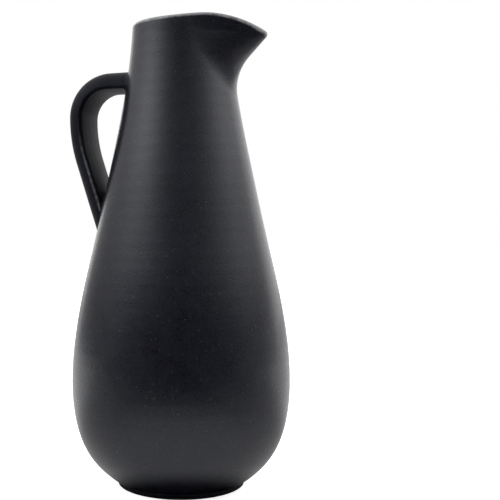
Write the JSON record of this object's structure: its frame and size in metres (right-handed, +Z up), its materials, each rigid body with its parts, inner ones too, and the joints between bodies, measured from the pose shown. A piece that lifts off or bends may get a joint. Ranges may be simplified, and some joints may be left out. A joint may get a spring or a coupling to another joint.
{
  "type": "oinochoe jug",
  "caption": "Tall pear-shaped stoneware wine jug with a narrow neck, a beaked pouring mouth, a strap handle and a low foot ring.",
  "frame": {"origin": "middle of the foot ring's underside, on the jug's own axis", "axes": "+Z up along the jug's axis, +X towards the beak, -X towards the handle; the jug is symmetric about the XZ plane"},
  "size_m": [0.1475, 0.1412, 0.3],
  "materials": {
    "stoneware": "satin matte black, finely speckled",
    "slip": "matte black"
  },
  "bodies": {
    "root": {"belly": "stoneware", "upper_wall": "stoneware", "foot_ring": "stoneware", "handle": "stoneware", "shoulder_slip": "slip", "foot_slip": "slip", "upper_handle_slip": "slip", "lower_handle_slip": "slip"}
  },
  "joints": []
}
